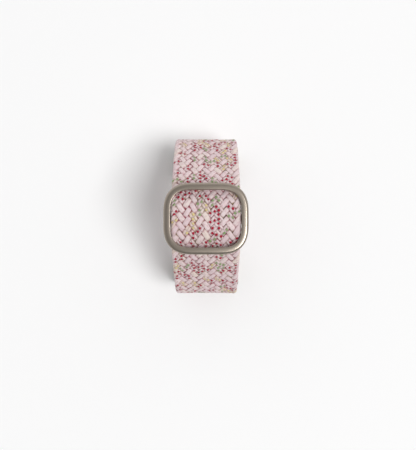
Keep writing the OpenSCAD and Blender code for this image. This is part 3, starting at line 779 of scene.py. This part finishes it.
# The window's corners have less than this sum of fourth powers, and the rim's outer ones more.
WINDOW_SUM = 1.4
GRAIN, GRAIN_DEPTH = 0.3, 0.02

# Stainless steel, bead-blasted and coated champagne: satin, with a warm cast and no mirror image.
# The blasted grain is 0.1 mm and is drawn at 0.3 mm, so that it shows.
satin, shader = material("satin_champagne_steel")
place = add(satin, "TexCoord").outputs["Object"]
grain = add(satin, "TexNoise", {"Vector": place, "Scale": 1 / (GRAIN * MM), "Detail": 2.0})
polish = add(satin, "MapRange", {"Value": grain, "From Min": 0.3, "From Max": 0.7,
                                 "To Min": 0.28, "To Max": 0.32})
bump = add(satin, "Bump", {"Height": grain, "Strength": 0.2, "Distance": GRAIN_DEPTH * MM})
feed(satin, shader, {"Metallic": 1.0, "Base Color": linear("a59a8e"), "Roughness": polish,
                     "Normal": bump})


def boss(side):
    """Round lug under one side of the rim that holds the centre bar."""
    x0, x1 = sorted((side * WINDOW_X, side * (WINDOW_X + BOSS_L)))
    r = CENTRE_BAR_R + BOSS_WALL
    low = CENTRE_BAR_Z - r
    lug = block("boss", (x0, BUCKLE_Y - r, low), (x1, BUCKLE_Y + r, RIM_Z + UNDER_ROUND))
    edit(lug)
    pick(lug, "EDGE", lambda ends: all(p.z < low + LEVEL for p in ends) and
         abs(ends[0].x - ends[1].x) > LONG)
    soften(r - BOSS_FLAT, 20)
    pick(lug, "EDGE", lambda ends: abs(ends[0].x - ends[1].x) < LEVEL)
    soften(BOSS_ROUND, 2)
    leave()
    return lug


def in_window(p):
    """Whether a corner of the ring is on its window's side."""
    return (p.x / WINDOW_X) ** 4 + ((p.y - BUCKLE_Y) / WINDOW_Y) ** 4 < WINDOW_SUM


def buckle_ring():
    """Ring with full corners and rounded edges, relieved below for the braid's bends."""
    ring = block("buckle_ring", (-RIM_X, BUCKLE_Y - RIM_Y, RIM_Z),
                 (RIM_X, BUCKLE_Y + RIM_Y, RIM_TOP))
    edit(ring)
    pick(ring, "EDGE", lambda ends: abs(ends[0].z - ends[1].z) > LONG)
    soften(CORNER_SPAN, CORNER_STEPS, CORNER_FULLNESS)
    pick(ring, "FACE", lambda ps: len(ps) > 4)
    bpy.ops.mesh.inset(thickness=RIM_W * MM, use_even_offset=True)
    bpy.ops.mesh.bridge_edge_loops()
    pick(ring, "EDGE", lambda ends: all(p.z > RIM_TOP - LEVEL and not in_window(p) for p in ends))
    soften(OUTER_ROUND, 7)
    pick(ring, "EDGE", lambda ends: all(p.z > RIM_TOP - LEVEL and in_window(p) for p in ends))
    soften(INNER_ROUND, 4)
    pick(ring, "EDGE", lambda ends: all(p.z < RIM_Z + LEVEL for p in ends) and
         in_window(ends[0]) == in_window(ends[1]))
    soften(UNDER_ROUND, 3)
    leave()
    combine(ring, boss(-1), "UNION")
    combine(ring, boss(1), "UNION")
    bore = cross_rod("bore", CENTRE_BAR_R + BORE_GAP, -RIM_X, RIM_X, BUCKLE_Y, CENTRE_BAR_Z)
    combine(ring, bore, "DIFFERENCE")
    for way in (-1, 1):
        relief = cross_rod("relief", RELIEF_R, -RELIEF_X, RELIEF_X, BUCKLE_Y + way * CREST_FLAT,
                           SHOULDER_Z, 160)
        combine(ring, relief, "DIFFERENCE")
    finish(ring, satin, HARD_PIECE)
    return ring


ring = buckle_ring()
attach(ring, "buckle")
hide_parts("buckle_frame")

# Small steel and rubber pieces.
MARK_UNIT = 1.6
DUST_SIZE, DUST_DEPTH = 0.4, 0.02

# Turned stainless steel: fine rings from the lathe, close to a polish. Turning marks of 0.05 mm
# are drawn every half millimetre, so that they show, which a wave's unit of 1.6 mm gives.
turned_steel, shader = material("turned_stainless_steel")
place = add(turned_steel, "TexCoord").outputs["Object"]
marks = add(turned_steel, "TexWave", {"Vector": place, "Scale": 1 / (MARK_UNIT * MM),
                                      "Distortion": 0.4, "Detail": 2.0},
            wave_type="BANDS", bands_direction="X")
polish = add(turned_steel, "MapRange", {"Value": marks.outputs["Fac"], "To Min": 0.2,
                                        "To Max": 0.3})
feed(turned_steel, shader, {"Metallic": 1.0, "Base Color": linear("c3c0bb"), "Roughness": polish})

# Moulded silicone rubber: dark, soft sheen, slightly dusty.
rubber, shader = material("moulded_silicone_rubber")
place = add(rubber, "TexCoord").outputs["Object"]
dust = add(rubber, "TexNoise", {"Vector": place, "Scale": 1 / (DUST_SIZE * MM), "Detail": 2.0})
bump = add(rubber, "Bump", {"Height": dust, "Strength": 0.3, "Distance": DUST_DEPTH * MM})
feed(rubber, shader, {"Base Color": linear("2b2a2c"), "Roughness": 0.68, "Normal": bump})


def dress(name, mat):
    """Gives a CAD node, whose shape is right as it is, its real material."""
    node = bpy.data.objects[name]
    node.data.materials.clear()
    node.data.materials.append(mat)


dress("buckle_centre_bar", turned_steel)
for side in ("a", "b"):
    dress("connector_body_" + side, satin)
    dress("strap_bar_" + side, turned_steel)
    dress("bar_screws_" + side, turned_steel)
    dress("lock_plunger_" + side, turned_steel)
    dress("lock_retainer_" + side, turned_steel)
    dress("rail_pads_" + side, rubber)

# Lock springs.
COIL_R, WIRE_R, COIL_TURNS, COIL_STEPS = 0.6, 0.14, 4, 28
COIL_FROM, COIL_TO, BORE_END = 19.03, 21.92, 22.1
LOCK_Z, SPRING_L, PRESS = 3.6, 3.25, 0.75

# Hard-drawn spring wire: bright, smooth steel with a faint blue cast.
spring_wire, shader = material("drawn_spring_wire")
feed(spring_wire, shader, {"Metallic": 1.0, "Base Color": linear("a9adb2"), "Roughness": 0.25})


def lock_spring(side, way):
    """Coil of round wire between the plunger's shoulder and the end of its bore."""
    name = "coil_spring_" + side
    line = bpy.data.curves.new(name, "CURVE")
    line.dimensions = "3D"
    line.bevel_depth = WIRE_R * MM
    line.bevel_resolution = 3
    line.use_fill_caps = True
    count = COIL_TURNS * COIL_STEPS + 1
    turned = np.linspace(0, COIL_TURNS * 2 * math.pi, count)
    along = np.linspace(COIL_FROM, COIL_TO, count)
    places = np.stack([COIL_R * np.cos(turned), way * along, LOCK_Z + COIL_R * np.sin(turned),
                       np.full(count, 1 / MM)], 1) * MM
    coil = line.splines.new("POLY")
    coil.points.add(count - 1)
    coil.points.foreach_set("co", places.ravel())
    only(place_new(name, line))
    bpy.ops.object.convert(target="MESH")
    spring = bpy.context.object
    finish(spring, spring_wire, HARD_PIECE)
    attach(spring, "connector_" + side)
    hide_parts("lock_spring_" + side)
    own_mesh(spring)


lock_spring("a", 1)
lock_spring("b", -1)

# Camera, straight above the buckle. Its focal length is in pixels of a picture this wide.
PHOTO_W, FOCAL_PX = 416, 429.0
CAMERA_PLACE, SENSOR_W = (0.7, -3.5, 192.5), 36.0

camera_data = bpy.data.cameras.new("camera")
camera_data.sensor_fit = "HORIZONTAL"
camera_data.sensor_width = SENSOR_W
camera_data.lens = FOCAL_PX * SENSOR_W / PHOTO_W
camera_data.clip_start = MM
camera = place_new("camera", camera_data)
camera.location = [v * MM for v in CAMERA_PLACE]
bpy.context.scene.camera = camera

# Floor of white paper, just under the feet. Its size and drop, and the lamp's places, are metres.
FLOOR_SIZE, FLOOR_DROP = 4.0, 0.0001

paper, shader = material("white_paper_sweep")
feed(paper, shader, {"Base Color": linear("fafafa"), "Roughness": 0.9})
bpy.ops.object.select_all(action="DESELECT")
bpy.ops.mesh.primitive_plane_add(size=FLOOR_SIZE, location=(0, 0, -FLOOR_DROP))
floor = bpy.context.object
floor.name = "floor"
floor.data.materials.append(paper)

# White walls all round, dimmer on the near side and a little on the right, and a darker ceiling.
WALL_LIGHT, CEILING_LIGHT, CEILING_POWER = 0.56, 0.24, 5.0
NEAR_SIDE_DIP, RIGHT_SIDE_DIP = 0.62, 0.15

world = bpy.data.worlds.new("studio")
bpy.context.scene.world = world
world.use_nodes = True
direction = add(world, "TexCoord").outputs["Generated"]
towards = add(world, "SeparateXYZ", {"Vector": direction})
upward = add(world, "Math", {0: towards.outputs["Z"], 1: 0.0}, operation="MAXIMUM")
ceiling = add(world, "Math", {0: upward, 1: CEILING_POWER}, operation="POWER")
level = add(world, "MapRange", {"Value": ceiling, "To Min": WALL_LIGHT, "To Max": CEILING_LIGHT})
dip = add(world, "Math", {0: towards.outputs["Y"], 1: NEAR_SIDE_DIP, 2: 1.0},
          operation="MULTIPLY_ADD")
dip = add(world, "Math", {0: towards.outputs["X"], 1: -RIGHT_SIDE_DIP, 2: dip},
          operation="MULTIPLY_ADD")
light = add(world, "Math", {0: level, 1: dip}, operation="MULTIPLY")
feed(world, world.node_tree.nodes["Background"], {"Color": (1, 1, 1, 1), "Strength": light})

# One large soft light, high above on the right and a little on the near side.
KEY_PLACE, KEY_AIM, KEY_SIZE, KEY_POWER = (2.5, -1.1, 5.3), (0, 0, 0.03), 2.6, 226.0

key_light = bpy.data.lights.new("key", "AREA")
key_light.shape = "SQUARE"
key_light.size = KEY_SIZE
key_light.energy = KEY_POWER
key = place_new("key", key_light)
key.location = KEY_PLACE
key.rotation_euler = (Vector(KEY_AIM) - Vector(KEY_PLACE)).to_track_quat("-Z", "Y").to_euler()

bpy.context.scene.view_settings.view_transform = "Standard"
